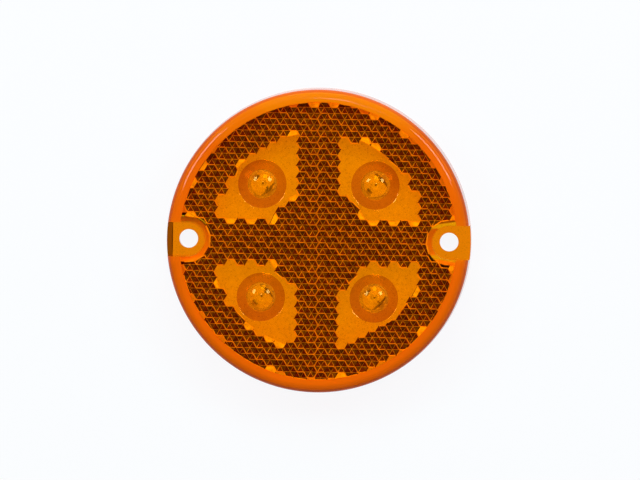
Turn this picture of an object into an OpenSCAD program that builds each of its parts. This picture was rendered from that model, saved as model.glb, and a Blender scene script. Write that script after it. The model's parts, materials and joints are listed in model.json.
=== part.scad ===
// Round amber LED marker lamp with a moulded-in reflex reflector.
// The lamp lies on its back: the origin is the centre of the rear mounting
// face, +Z points out of the lens and +X to the right-hand screw hole.

/* [Lens body] */
// Outside diameter of the lens at its rear edge
lens_d = 82; // [80:0.5:90]
// Height of the lamp from the mounting face to the front face
lamp_h = 18; // [17:0.5:24]
// Draft of the outer wall in degrees
wall_draft = 1.5; // [0.5:0.25:2.5]
// Radius of the rounded front edge
edge_r = 2.5; // [1:0.25:3]
// Thickness of the front wall
front_t = 2.5; // [2:0.1:3]
// Thickness of the outer wall
skirt_t = 2; // [1.8:0.1:2.6]
// Width of the ledge on which the rear cover seats
ledge_w = 0.6; // [0.4:0.1:0.8]

/* [Screw ears] */
// Distance from the outside of the lens to the middle of each screw hole
screw_inset = 6; // [5:0.25:7]
// Diameter of the screw holes
screw_hole_d = 5; // [4:0.1:5.5]
// Width of the open screw recesses
recess_w = 9.2; // [8.5:0.1:11]
// Thickness of the wall round each recess
well_t = 1.4; // [1:0.1:2]
// Thickness of the floor under the screw head
ear_t = 3.5; // [2.5:0.1:5]
// Height of the underside of that floor above the mounting face
ear_lift = 1.5; // [0.5:0.1:2]
// Width of the collar wall that carries the floor round the screw hole
collar_t = 1.6; // [1.2:0.1:1.8]

/* [Reflex reflector] */
// Side length of one hexagonal prism cell
cell_side = 1.82; // [1.6:0.01:2.4]
// Plain margin between the prism field and the outside of the lens
field_margin = 3.8; // [3.4:0.1:6]
// Half width of the prism bars between the windows
bar_half_w = 5.6; // [4.5:0.1:7]
// Inner radius of the four windows
window_in_r = 13.8; // [12:0.1:16]
// Width of the ring of prisms outside the windows
outer_band_w = 8.2; // [7:0.1:10]
// Sideways shift of the prism pattern
lattice_x = 1.15; // [0:0.01:2.7]
// Upward shift of the prism pattern
lattice_y = 1.12; // [-1.5:0.01:1.5]
// Straight land below each prism
prism_land = 0.15; // [0.1:0.05:0.4]

/* [Light windows] */
// Outside radius of the dished ring over an LED
dish_r = 6.65; // [6:0.05:7]
// Depth of the dished ring
dish_h = 1.4; // [1:0.1:1.6]
// Rounding of the ring's outer edge
dish_edge_r = 0.8; // [0.4:0.1:1.2]
// Radius of the dome in the dished ring
dome_r = 3.95; // [3.4:0.05:4.4]
// Height of that dome
dome_h = 1.3; // [0.8:0.1:1.4]
// Wall of the optic beside the dish
optic_rim = 0.9; // [0.6:0.1:1.2]
// Thickness of the optic behind the dish
optic_t = 2.3; // [1.8:0.1:2.6]
// Depth of the hollow behind the dome
hollow_h = 0.8; // [0.4:0.1:1]

/* [Rear cover] */
// Thickness of the rear cover
cover_t = 2.2; // [1.8:0.1:2.6]
// Gap between the cover and the lens
cover_gap = 0.15; // [0.1:0.05:0.3]
// Height of the posts under the circuit board
post_h = 1.4; // [1.2:0.1:2]
// Diameter of those posts
post_d = 5; // [4:0.1:6]
// Distance from the board's edge to the middle of each post
post_inset = 4.6; // [4.5:0.1:7]
// Diameter of the pegs that hold the board
peg_d = 2.4; // [2:0.1:3]
// Diameter of the flattened peg heads
peg_head_d = 4.2; // [3.6:0.1:5]
// Height of the flattened peg heads
peg_head_h = 0.8; // [0.5:0.1:1.2]
// Bore of the cable port
port_d = 6.6; // [6:0.1:8]
// Wall of the cable port
port_t = 1; // [0.8:0.1:1.6]
// Height of the cable port above the mounting face
port_h = 7; // [6.5:0.1:8]

/* [Cable grommet] */
// Diameter of the grommet's rear flange
grommet_flange_d = 10; // [9.5:0.1:12]
// Thickness of the grommet's flange and lip
grommet_flange_t = 1; // [0.6:0.1:1.2]
// How far the inner lip overhangs the cable port
grommet_lip_w = 0.6; // [0.4:0.1:1]
// Bore for the cable
cable_bore_d = 4.4; // [3.5:0.1:5]

/* [Circuit board] */
// Thickness of the circuit board
board_t = 1.6; // [1:0.1:2]
// Gap between the board and the lens walls
board_gap = 1; // [0.5:0.1:2]
// Gap round pegs, the cable port and solder pins
hole_gap = 0.1; // [0.05:0.05:0.2]

/* [LEDs] */
// Diameter of the LED dome
led_d = 5; // [4.8:0.1:5.2]
// Height of the LED above the board
led_h = 8.6; // [7:0.1:8.6]
// Diameter of the LED's foot
led_foot_d = 5.9; // [5.6:0.1:6.2]
// Height of the LED's foot
led_foot_h = 1; // [0.8:0.1:1.2]
// Width of the square LED leads
lead_w = 0.5; // [0.4:0.05:0.6]
// Distance between the two leads of an LED
lead_pitch = 2.54; // [2.4:0.02:2.6]
// How far the leads stand out behind the board
lead_tail = 1; // [0.8:0.1:1.1]
// Diameter of a solder joint at the board
solder_d = 1.8; // [1.6:0.1:2.2]
// Height of a solder joint
solder_h = 0.7; // [0.5:0.1:0.8]

/* [Chip components] */
// Length of a chip resistor
chip_l = 3.2; // [2:0.1:3.4]
// Width of a chip resistor
chip_w = 1.6; // [1.2:0.1:2]
// Height of a chip resistor
chip_h = 0.6; // [0.4:0.05:0.9]
// Distance from the notches in the board to the middle of a chip resistor
chip_inset = 4; // [2.5:0.1:6]
// Length, width and height of the moulded diode
diode_size = [4.3, 2.6, 2.1]; // [1:0.1:6]
// Length, width and height of the surge suppressor
suppressor_size = [4.5, 3.6, 2.3]; // [1:0.1:6]
// Length, width and height of the regulator's body
regulator_size = [4.5, 2.5, 1.5]; // [1:0.1:6]
// Length, width and height of the capacitor
capacitor_size = [3.2, 2.5, 1.6]; // [1:0.1:6]
// Distance from the cable port to the middle of a larger component
part_inset = 7.7; // [6.5:0.1:10]
// Thickness of the components' leads
package_lead_t = 0.25; // [0.15:0.05:0.4]
// Height of the wire terminals
terminal_h = 2.4; // [1.5:0.1:3.5]
// Diameter of the wire terminals
terminal_d = 1.5; // [1.2:0.1:2]
// Distance between the two wire terminals
terminal_pitch = 5; // [4:0.1:6]
// Gap between the cable port and the middle of a terminal
terminal_inset = 1.6; // [1.2:0.1:2.5]

/* [Hidden] */

// Lens radii and levels
lens_r = lens_d / 2;
edge_x = lens_r - (lamp_h - edge_r) * tan(wall_draft) - edge_r / cos(wall_draft);
front_z = lamp_h - front_t;
inner_r = lens_r - skirt_t;
inner_front_r = inner_r - front_z * tan(wall_draft);
seat_r = inner_r + ledge_w;
field_r = lens_r - field_margin;
window_out_r = field_r - outer_band_w;
hole_x = lens_r - screw_inset;
recess_r = recess_w / 2;
well_r = recess_r + well_t;
ear_top = ear_lift + ear_t;
collar_r = screw_hole_d / 2 + collar_t;
past = 1;

// Prism cells: a cube corner on a hexagon, three levels deep
cell_h = cell_side * sqrt(3) / 2;
cell_step = cell_side / sqrt(2);
// How far the prisms reach into the front wall
prism_root = 0.4;
prism_low_z = front_z - prism_land;
columns = ceil(lens_r / (1.5 * cell_side)) + 1;
rows = ceil(lens_r / (2 * cell_h)) + 1;

// Levels of the inner pieces
board_z = cover_t + post_h;
board_top = board_z + board_t;
dish_z = lamp_h - dish_h;
optic_z = dish_z - optic_t;
optic_r = dish_r + optic_rim;
port_r = port_d / 2 + port_t;

// Places of the inner pieces: LEDs in the middle of the windows, posts near
// the board's edge, resistors beside its notches, the rest round the port
board_r = inner_front_r - board_gap;
led_offset = (window_in_r + window_out_r) / 2 / sqrt(2);
post_offset = (board_r - post_inset) / sqrt(2);
chip_ring_r = hole_x - well_r - board_gap - chip_inset;
part_ring_r = port_r + part_inset;

// Four light positions, one in each quarter, and the turn of the LEDs there
quarters = [[-1, 1], [1, 1], [-1, -1], [1, -1]];
led_turn = 45;

// Number of facets on round surfaces, and segments in a quarter arc and in
// the rounded lip of a dished ring
round_fn = 96;
arc_steps = 6;
lip_steps = 2;

// Points on an arc about c, from angle a0 to a1 in n steps
function arc(c, r, a0, a1, n) = [for (i = [0:n]) let (a = a0 + (a1 - a0) * i / n) c + r * [cos(a), sin(a)]];

// Outline of a recess and its wall: a round end at the screw, open outwards
module slot(r) {
    translate([hole_x, 0]) circle(r = r, $fn = round_fn);
    translate([hole_x, -r]) square([lens_r, 2 * r]);
}

module both_ears() {
    children();
    mirror([1, 0, 0]) children();
}

// Outer surface of the lens as one solid
module lens_envelope() {
    edge_c = [edge_x, lamp_h - edge_r];
    rotate_extrude($fn = round_fn)
        polygon(concat([[0, 0], [lens_r, 0]], arc(edge_c, edge_r, wall_draft, 90, arc_steps), [[0, lamp_h]]));
}

module lens_cavity() {
    rotate_extrude($fn = round_fn)
        polygon([[0, -past], [seat_r, -past], [seat_r, cover_t], [inner_r, cover_t],
            [inner_front_r, front_z], [0, front_z]]);
}

// Wall round a recess, the floor for the screw head and the collar under it
module ear() {
    intersection() {
        lens_envelope();
        difference() {
            linear_extrude(lamp_h) slot(well_r);
            translate([0, 0, ear_top]) linear_extrude(lamp_h) slot(recess_r);
            translate([0, 0, -past]) linear_extrude(ear_lift + past) difference() {
                intersection() {
                    slot(recess_r);
                    circle(r = seat_r, $fn = round_fn);
                }
                translate([hole_x, 0]) circle(r = collar_r, $fn = round_fn);
            }
        }
    }
}

// Solid behind each dished ring
module optic_boss() {
    translate([0, 0, optic_z]) cylinder(r = optic_r, h = front_z - optic_z + past, $fn = round_fn);
}

// Ring cut round the dome, with a sloping outer wall and a crowned middle
module optic_cut() {
    crown_r = (dome_r * dome_r + dome_h * dome_h) / (2 * dome_h);
    crown_a = asin(dome_r / crown_r);
    crown = arc([0, dish_z + dome_h - crown_r], crown_r, 90, 90 - crown_a, arc_steps);
    wall_a = atan2(dish_h, dish_r - dome_r);
    lip_x = dish_r + dish_edge_r * tan(wall_a / 2);
    lip = arc([lip_x, lamp_h - dish_edge_r], dish_edge_r, 90 + wall_a, 90, lip_steps);
    rotate_extrude($fn = round_fn)
        polygon(concat(crown, lip, [[lip_x, lamp_h + past], [0, lamp_h + past]]));
}

module optic_hollow() {
    hollow_r = (dome_r * dome_r + hollow_h * hollow_h) / (2 * hollow_h);
    hollow_a = asin(dome_r / hollow_r);
    hollow = arc([0, optic_z + hollow_h - hollow_r], hollow_r, 90, 90 - hollow_a, arc_steps);
    rotate_extrude($fn = round_fn)
        polygon(concat(hollow, [[dome_r, optic_z - past], [0, optic_z - past]]));
}

module at_lights() {
    for (q = quarters) translate([q[0] * led_offset, q[1] * led_offset, 0]) children();
}

// Cell (c, r) has its centre on half-step grid point (3c, 2r + c mod 2).
// Grid point (i, j) lies at i half sides across and j half heights up.
function grid_x(i) = lattice_x + i * cell_side / 2;
function grid_y(j) = lattice_y + j * cell_h;
function odd(c) = abs(c) % 2;
function in_window(x, y) = abs(x) > bar_half_w && abs(y) > bar_half_w
    && norm([x, y]) > window_in_r && norm([x, y]) < window_out_r;
function in_ear(x, y) = abs(x) > hole_x ? abs(y) < well_r : norm([abs(x) - hole_x, y]) < well_r;
function kept(c, r) = let (x = grid_x(3 * c), y = grid_y(2 * r + odd(c)))
    norm([x, y]) < field_r && !in_window(x, y) && !in_ear(x, y);

// The six corners of a cell in half steps, anticlockwise, and the cell
// across each side
corner = [[2, 0], [1, 1], [-1, 1], [-2, 0], [-1, -1], [1, -1]];
function across(c, r, k) = k == 0 ? [c + 1, r + odd(c)]
    : k == 1 ? [c, r + 1]
    : k == 2 ? [c - 1, r + odd(c)]
    : k == 3 ? [c - 1, r + odd(c) - 1]
    : k == 4 ? [c, r - 1]
    : [c + 1, r + odd(c) - 1];

// All grid points at the root, then the same points on the prism surface
span_i = 3 * columns + 2;
span_j = 2 * rows + 3;
row_n = 2 * span_i + 1;
layer_n = row_n * (2 * span_j + 1);
function root_at(i, j) = (j + span_j) * row_n + i + span_i;
function face_at(i, j) = layer_n + root_at(i, j);
// A cell's centre is its tip, two steps deep; its corners alternate between
// one step and none
function grid_z(i) = prism_low_z - cell_step * [2, 1, 0][(i + 3 * span_i) % 3];

module prisms() {
    cells = [for (c = [-columns:columns]) for (r = [-rows:rows]) if (kept(c, r)) [c, r]];
    points = concat(
        [for (j = [-span_j:span_j]) for (i = [-span_i:span_i]) [grid_x(i), grid_y(j), front_z + prism_root]],
        [for (j = [-span_j:span_j]) for (i = [-span_i:span_i]) [grid_x(i), grid_y(j), grid_z(i)]]);
    roots = [for (p = cells) let (i = 3 * p[0], j = 2 * p[1] + odd(p[0]))
        [for (k = [5:-1:0]) root_at(i + corner[k][0], j + corner[k][1])]];
    tips = [for (p = cells) let (i = 3 * p[0], j = 2 * p[1] + odd(p[0])) for (k = [0:5])
        let (a = corner[k], b = corner[(k + 1) % 6])
        [face_at(i, j), face_at(i + a[0], j + a[1]), face_at(i + b[0], j + b[1])]];
    sides = [for (p = cells) let (i = 3 * p[0], j = 2 * p[1] + odd(p[0])) for (k = [0:5])
        let (n = across(p[0], p[1], k), a = corner[k], b = corner[(k + 1) % 6])
        if (!kept(n[0], n[1]))
        [face_at(i + b[0], j + b[1]), face_at(i + a[0], j + a[1]),
            root_at(i + a[0], j + a[1]), root_at(i + b[0], j + b[1])]];
    polyhedron(points, concat(roots, tips, sides), convexity = 10);
}

// One of the four windows that the prisms leave open
module window() {
    difference() {
        translate([bar_half_w, bar_half_w]) square(window_out_r);
        circle(r = window_in_r, $fn = round_fn);
        difference() {
            square(3 * window_out_r, center = true);
            circle(r = window_out_r, $fn = round_fn);
        }
    }
}

// Outline to which the prisms are trimmed; it ends inside the recess walls
module prism_outline() {
    difference() {
        circle(r = field_r, $fn = round_fn);
        for (k = [0:3]) rotate(90 * k) window();
        both_ears() slot(recess_r + well_t / 2);
    }
}

module reflector() {
    depth = prism_land + 2 * cell_step;
    intersection() {
        prisms();
        translate([0, 0, front_z - depth - past]) linear_extrude(depth + prism_root + 2 * past) prism_outline();
    }
}

module lens() {
    color("darkorange") difference() {
        union() {
            difference() {
                lens_envelope();
                lens_cavity();
                both_ears() translate([0, 0, ear_top]) linear_extrude(lamp_h) slot(recess_r);
            }
            both_ears() ear();
            at_lights() optic_boss();
            reflector();
        }
        at_lights() optic_cut();
        at_lights() optic_hollow();
        both_ears() translate([hole_x, 0, -past])
            cylinder(d = screw_hole_d, h = ear_top + 2 * past, $fn = round_fn);
    }
}

module at_posts() {
    for (q = quarters) translate([q[0] * post_offset, q[1] * post_offset, 0]) children();
}

module rear_cover() {
    color("dimgray") difference() {
        union() {
            linear_extrude(cover_t) difference() {
                circle(r = seat_r - cover_gap, $fn = round_fn);
                both_ears() slot(well_r + cover_gap);
            }
            cylinder(r = port_r, h = port_h, $fn = round_fn);
            at_posts() cylinder(d = post_d, h = board_z, $fn = round_fn);
            at_posts() cylinder(d = peg_d, h = board_top + peg_head_h, $fn = round_fn);
            at_posts() translate([0, 0, board_top]) cylinder(d = peg_head_d, h = peg_head_h, $fn = round_fn);
        }
        translate([0, 0, -past]) cylinder(d = port_d, h = port_h + 2 * past, $fn = round_fn);
        translate([0, 0, -past])
            cylinder(d = grommet_flange_d + 2 * hole_gap, h = grommet_flange_t + past, $fn = round_fn);
    }
}

module cable_grommet() {
    neck_r = port_d / 2 - hole_gap;
    lip_r = port_d / 2 + grommet_lip_w;
    flange_r = grommet_flange_d / 2;
    bore_r = cable_bore_d / 2;
    top_z = port_h + grommet_flange_t;
    color("black") rotate_extrude($fn = round_fn)
        polygon([[bore_r, 0], [flange_r, 0], [flange_r, grommet_flange_t], [neck_r, grommet_flange_t],
            [neck_r, port_h], [lip_r, port_h], [lip_r - grommet_lip_w / 2, top_z], [bore_r, top_z]]);
}

// One LED's place, turned so that its leads lie in line with the lamp's middle
module at_led(q) {
    translate([q[0] * led_offset, q[1] * led_offset, 0]) rotate(led_turn * q[0] * q[1]) children();
}

module at_led_leads() {
    for (q = quarters, side = [-1, 1]) at_led(q) translate([side * lead_pitch / 2, 0, 0]) children();
}

module circuit_board() {
    lead_hole_d = lead_w * sqrt(2) + 2 * hole_gap;
    color("ivory") translate([0, 0, board_z]) linear_extrude(board_t) difference() {
        circle(r = board_r, $fn = round_fn);
        both_ears() slot(well_r + board_gap);
        circle(r = port_r + hole_gap, $fn = round_fn);
        at_posts() circle(d = peg_d + 2 * hole_gap, $fn = 32);
        at_led_leads() circle(d = lead_hole_d, $fn = 24);
    }
}

// Round-headed LED with a foot that has one flat
module led(q) {
    led_r = led_d / 2;
    color("gold", 0.7) at_led(q) translate([0, 0, board_top]) difference() {
        rotate_extrude($fn = 64)
            polygon(concat([[0, 0], [led_foot_d / 2, 0], [led_foot_d / 2, led_foot_h], [led_r, led_foot_h]],
                arc([0, led_h - led_r], led_r, 0, 90, 8)));
        translate([led_r, -led_foot_d, -past]) cube([led_foot_d, 2 * led_foot_d, led_foot_h + past]);
    }
}

module led_leads(q) {
    color("silver") at_led(q) translate([0, 0, board_z - lead_tail])
        for (side = [-1, 1]) translate([side * lead_pitch / 2 - lead_w / 2, -lead_w / 2, 0])
            cube([lead_w, lead_w, lead_tail + board_t]);
}

module solder_joints() {
    color("gainsboro") at_led_leads() translate([0, 0, board_z - solder_h]) difference() {
        cylinder(d1 = lead_w * 2, d2 = solder_d, h = solder_h, $fn = 32);
        translate([-lead_w / 2, -lead_w / 2, -past]) cube([lead_w, lead_w, solder_h + 2 * past]);
    }
}

// Chip of size [length, width, height] with a terminal wrapped round each end
module chip(size) {
    cap_l = size[0] * 0.16;
    cap_t = size[2] * 0.08;
    translate([cap_t - size[0] / 2, cap_t - size[1] / 2, 0])
        cube([size[0] - 2 * cap_t, size[1] - 2 * cap_t, size[2] - cap_t]);
    for (side = [0, 1]) mirror([side, 0, 0])
        translate([size[0] / 2 - cap_l, -size[1] / 2, 0]) cube([cap_l, size[1], size[2]]);
}

module resistor(angle) {
    color("black") rotate(angle) translate([chip_ring_r, 0, board_top]) rotate(90)
        chip([chip_l, chip_w, chip_h]);
}

// Moulded package with bevelled ends and a flat lead folded under each end
module folded_lead_package(size) {
    half_l = size[0] / 2;
    h = size[2];
    lead_t = package_lead_t;
    bevel = 0.6 * lead_t;
    foot_w = size[1] * 0.55;
    foot_l = size[0] * 0.28;
    rotate([90, 0, 0]) translate([0, 0, -size[1] / 2]) linear_extrude(size[1])
        polygon([[bevel - half_l, lead_t / 2], [half_l - bevel, lead_t / 2], [half_l, h / 2],
            [half_l - bevel, h], [bevel - half_l, h], [-half_l, h / 2]]);
    for (side = [0, 1]) mirror([side, 0, 0]) {
        translate([half_l - foot_l, -foot_w / 2, 0]) cube([foot_l + lead_t, foot_w, lead_t]);
        translate([half_l - lead_t, -foot_w / 2, 0]) cube([2 * lead_t, foot_w, h * 0.6]);
    }
}

module polarity_diode() {
    color("dimgray") translate([-part_ring_r, 0, board_top]) rotate(90) folded_lead_package(diode_size);
}

module surge_suppressor() {
    color("dimgray") translate([part_ring_r, 0, board_top]) rotate(90) folded_lead_package(suppressor_size);
}

// Three-legged regulator with a heat tab
module current_regulator() {
    l = regulator_size[0];
    w = regulator_size[1];
    leg_w = l / 10;
    leg_l = w * 0.36;
    color("dimgray") translate([0, part_ring_r, board_top]) {
        translate([-l / 2, -w / 2, 0]) cube(regulator_size);
        translate([-2 * leg_w, w / 2, 0]) cube([4 * leg_w, leg_l, package_lead_t]);
        for (k = [-1, 0, 1]) translate([k * l / 3 - leg_w / 2, -w / 2 - leg_l, 0])
            cube([leg_w, leg_l, package_lead_t]);
    }
}

module capacitor() {
    color("tan") translate([0, -part_ring_r, board_top]) chip(capacitor_size);
}

// Pin with a groove round which a wire is soldered
module wire_terminal(side) {
    r = terminal_d / 2;
    neck_r = terminal_d / 3;
    h = terminal_h;
    color("silver") translate([side * terminal_pitch / 2, -port_r - terminal_inset, board_top])
        rotate_extrude($fn = 32) polygon([[0, 0], [r, 0], [r, h / 3], [neck_r, h / 2], [neck_r, h * 2 / 3],
            [r, h * 3 / 4], [r, h], [0, h]]);
}

lens();
rear_cover();
circuit_board();
led(quarters[0]);  // led_1
led(quarters[1]);  // led_2
led(quarters[2]);  // led_3
led(quarters[3]);  // led_4
led_leads(quarters[0]);  // led_leads_1
led_leads(quarters[1]);  // led_leads_2
led_leads(quarters[2]);  // led_leads_3
led_leads(quarters[3]);  // led_leads_4
resistor(0);  // resistor_1
resistor(90);  // resistor_2
resistor(180);  // resistor_3
resistor(270);  // resistor_4
polarity_diode();
surge_suppressor();
current_regulator();
capacitor();
wire_terminal(-1);  // supply_terminal
wire_terminal(1);  // earth_terminal
solder_joints();
cable_grommet();
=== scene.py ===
"""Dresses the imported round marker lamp: amber lens, prisms, LEDs, board and studio."""

import json
import math

import bmesh
import bpy
from bpy.props import FloatProperty, IntProperty, PointerProperty, StringProperty
from mathutils import Matrix, Vector


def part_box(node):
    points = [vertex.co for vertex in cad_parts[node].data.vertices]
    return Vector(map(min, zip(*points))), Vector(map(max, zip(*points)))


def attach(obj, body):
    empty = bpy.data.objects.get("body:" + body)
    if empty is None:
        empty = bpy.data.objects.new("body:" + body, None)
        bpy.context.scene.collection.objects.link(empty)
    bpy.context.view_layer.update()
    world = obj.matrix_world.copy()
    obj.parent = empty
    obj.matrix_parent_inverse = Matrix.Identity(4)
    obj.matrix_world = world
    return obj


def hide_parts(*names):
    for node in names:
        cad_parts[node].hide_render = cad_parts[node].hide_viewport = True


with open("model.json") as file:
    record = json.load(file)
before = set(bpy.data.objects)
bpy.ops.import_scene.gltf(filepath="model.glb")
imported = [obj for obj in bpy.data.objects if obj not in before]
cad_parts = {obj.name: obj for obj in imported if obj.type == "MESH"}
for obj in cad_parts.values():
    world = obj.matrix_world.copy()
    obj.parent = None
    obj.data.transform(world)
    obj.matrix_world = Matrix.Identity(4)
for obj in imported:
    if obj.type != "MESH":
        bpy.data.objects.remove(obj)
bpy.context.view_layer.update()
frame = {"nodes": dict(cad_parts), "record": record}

bl_info = {
    "name": "Marker Lamp",
    "version": (1, 0, 0),
    "blender": (4, 5, 0),
    "location": "View3D > Sidebar > Marker Lamp",
    "description": "Builds the dressed pieces of a round amber marker lamp",
    "category": "Object",
}


# ------------------------------ sizes

MM = 0.001
MERGE = 0.002 * MM  # points nearer than this become one
SPARE = MM  # tools reach past what they cut by one to three of these
TOUCH = 0.05 * MM  # a face this near to a wall belongs to it
HAIR = 0.01 * MM  # keeps a wall's own faces out of the room that it encloses
EDGE_SOFT = 0.08 * MM  # rounding on the edges of the inner parts

LENS_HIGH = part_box("lens")[1]
LED_LOW, LED_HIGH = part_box("led_1")
SCREW_HOLES = frame["record"]["mounts"][1]["dims"]

LENS_R = LENS_HIGH.x
LAMP_H = LENS_HIGH.z
SCREW_X = SCREW_HOLES["spacing_x_mm"] * MM / 2
SCREW_R = SCREW_HOLES["hole_r_mm"] * MM

QUARTERS = ((-1, 1), (1, 1), (-1, -1), (1, -1))  # signs of x and y for LEDs 1 to 4
LED_OFFSET = (LED_HIGH.y + LED_LOW.y) / 2
LED_TURN = math.radians(45)  # brings each LED's leads in line with the lamp's middle
LEAD_PITCH = 2.54 * MM
SOLDER_R = 0.9 * MM
SOLDER_TIP_R = 0.35 * MM

# Where caps and leads start and legs end, as shares of a component's half length
CHIP_CAP = 0.68
LEAD_START = 0.9
LEG_REACH = 0.9
LEG_T = 0.3 * MM  # legs and heat tab lie lower than this


def length(name, description, mm):
    """A size that a user can change, written in millimetres and kept in metres."""
    return FloatProperty(name=name, description=description, default=mm * MM, unit="LENGTH")


def paint(name, description, value):
    """A colour that a user can change, as an sRGB hex value."""
    return StringProperty(name=name, description=description, default=value)


class LampSizes(bpy.types.PropertyGroup):
    """Sizes that the outside measurements of the frame leave open."""

    draft: FloatProperty(
        name="Wall draft", description="Slope of the outer wall", default=math.radians(1.5), subtype="ANGLE"
    )
    edge_r: length("Front edge", "Radius of the rounded front edge", 2.5)
    front_t: length("Front wall", "Thickness of the front wall", 2.5)
    skirt_t: length("Outer wall", "Thickness of the outer wall", 2)
    cover_t: length("Cover", "Height of the ledge that the rear cover sits under", 2.2)
    ledge_w: length("Ledge", "Width of the ledge that the rear cover sits under", 0.6)
    recess_r: length("Screw recess", "Half width of a screw recess", 4.6)
    well_t: length("Recess wall", "Wall round a screw recess", 1.4)
    ear_lift: length("Ear lift", "Height of the underside of the screw floor", 1.5)
    ear_t: length("Screw floor", "Thickness of the floor under the screw", 3.5)
    collar_t: length("Collar", "Wall of the collar round the screw hole", 1.6)
    wall_end_r: length("Wall end", "Where the outer wall starts under the screw floor", 39.3)


class PrismSizes(bpy.types.PropertyGroup):
    """The reflex prisms and the windows between them."""

    cell: length("Cell side", "Side of one hexagonal prism", 1.82)
    margin: length("Margin", "Plain margin outside the prisms", 3.8)
    band: length("Outer band", "Width of the prism ring outside the windows", 8.2)
    window_in: length("Window inside", "Inner radius of the windows", 13.8)
    bar: length("Prism bar", "Half width of the bars between windows", 5.6)
    shift_x: length("Pattern across", "Sideways shift of the prisms", 1.15)
    shift_y: length("Pattern up", "Upward shift of the prisms", 1.12)
    land: length("Land", "Width of the land between two prisms", 0.30)
    ridge: length("Ridge", "Width of the soft edge between two facets", 0.13)
    outside: FloatProperty(
        name="Outside", description="How far outside the field a middle may lie, in cell sides", default=0.25
    )
    whole: FloatProperty(
        name="Whole", description="How far inside a window's edge cells stay whole, in sides", default=0.2
    )
    least: FloatProperty(
        name="Least area", description="Smallest part cell that stays, in squares of its side", default=0.12
    )
    gap: length("Gap", "Gap between the front wall and the prisms", 0.03)
    film: length("Wall", "Thickness of the prism wall", 0.2)


class OpticSizes(bpy.types.PropertyGroup):
    """The dished ring and the dome over each LED."""

    dish_r: length("Dish", "Outside radius of the dish", 6.65)
    dish_h: length("Dish depth", "Depth of the dish", 1.4)
    dome_r: length("Dome", "Radius of the dome", 3.95)
    dome_h: length("Dome height", "Height of the dome", 1.3)
    edge_r: length("Dish edge", "Rounding of the dish's edge", 0.8)
    # The lip stays out of the dish's painted shade, so it shows as a paler ring: painted light
    lip_w: length("Lip", "Width of the dish's paler lip", 0.15)
    rim: length("Rim", "Wall beside the dish", 0.9)
    back_t: length("Back", "Wall behind the dish", 2.3)
    hollow_h: length("Hollow", "Hollow behind the dome", 0.8)


class LedSizes(bpy.types.PropertyGroup):
    """The LED's body and the lead frame cast into it."""

    body_r: length("Body", "Radius of the epoxy body", 2.5)
    foot_h: length("Foot", "Height of the flange at the foot", 1)
    foot_soft: length("Foot edge", "Chamfer of the flange", 0.15)
    cup_z: length("Cup place", "Rim of the cup above the board", 6.1)
    cup_r: length("Cup", "Radius of the cup at its rim", 0.62)
    cup_foot_r: length("Cup foot", "Radius of the cup's foot", 0.4)
    cup_h: length("Cup height", "Height of the cup", 0.6)
    cup_t: length("Cup wall", "Wall of the cup", 0.1)
    bowl_h: length("Bowl", "Depth of the bowl in the cup", 0.35)
    strip_t: length("Strip", "Thickness of the lead frame", 0.2)
    bridge_h: length("Bridge", "Height of the strip to the cup", 0.5)
    lead_x: length("Lead", "Lead's middle off the axis", 1.1)
    lead_w: length("Lead width", "Width of a lead", 0.5)
    lead_foot: length("Lead foot", "Where a lead starts", 0.1)
    plate_h: length("Plate height", "Height of a plate", 0.4)
    anvil_w: length("Anvil", "Plate that bears the cup", 2.7)
    post_w: length("Post", "Width of the other plate", 0.8)
    die_w: length("Die", "Side of the die", 0.24)
    die_h: length("Die height", "Height of the die", 0.13)


class StudioSizes(bpy.types.PropertyGroup):
    """Camera and lamps."""

    distance: length("Distance", "Camera to the lamp's front", 3000)
    lean_x: FloatProperty(name="Lean right", description="Sideways lean of the camera", default=0.017)
    lean_y: FloatProperty(name="Lean up", description="Upward lean of the camera", default=0.021)
    aim_x: length("Aim right", "Aim beside the axis", 0.39)
    aim_y: length("Aim up", "Aim above the axis", 0.19)
    roll: FloatProperty(
        name="Roll", description="Turn about the view", default=math.radians(0.786), subtype="ANGLE"
    )
    lens_mm: FloatProperty(name="Lens", description="Focal length in millimetres", default=629.0)
    box_distance: length("Softboxes", "Softboxes to the lamp's front", 1000)
    box_power: FloatProperty(name="Power", description="Power of a full softbox in watts", default=6.0)
    fill: FloatProperty(name="Fill", description="Strength of the world", default=0.38)
    turn_steps: IntProperty(name="Segments", description="Segments of the lens's full turn", default=192)


class LampColours(bpy.types.PropertyGroup):
    """Colours as sRGB hex values."""

    amber: paint("Clear amber", "Front wall once through", "F0B804")
    amber_thick: paint("Thick amber", "Screw floor once through", "EC8403")
    # Painted shade: a darker amber for the dished ring round each dome
    amber_dish_painted_shade: paint("Dish amber", "Dish once through", "B66204")
    # Also painted shade on the walls of the screw bores, which take this dark amber
    amber_end_and_bore_shade: paint("Wall end", "Outer wall seen end on", "5A2600")
    amber_low: paint("Deep amber low", "Thick wall, low patches", "E66804")
    amber_deep: paint("Deep amber", "Thick wall's middle tone", "DE6403")
    # Painted light: the lighter tone that the deep walls take towards the top
    amber_high_painted_light: paint("Deep amber high", "Thick wall to the top", "E67E02")
    # Painted light: a pale amber that keeps the walls round the screw recesses bright, as if lit through
    amber_well_painted_light: paint("Recess wall", "Wall round a screw recess", "F7BC3C")
    # Painted shade: a darker amber on the outside of the skirt, so that the edge shows a dark outline
    amber_wall_painted_shade: paint("Outer wall", "Outside of the skirt", "CC5602")
    # Painted shade: dark tones for the facets, which send light back towards the dark side round the camera
    facet_warm_painted_shade: paint("Warm facet", "Prism facet, warm", "744030")
    facet_olive_painted_shade: paint("Olive facet", "Prism facet, cool", "6C6038")
    # Painted light: a pale land between prisms, where light comes through
    land: paint("Land", "Land between prisms", "F6CCC4")
    board: paint("Board", "Solder mask", "EAE7DE")
    cover: paint("Cover", "Rear cover", "1B1B1D")


# ------------------------------ helpers


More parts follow.
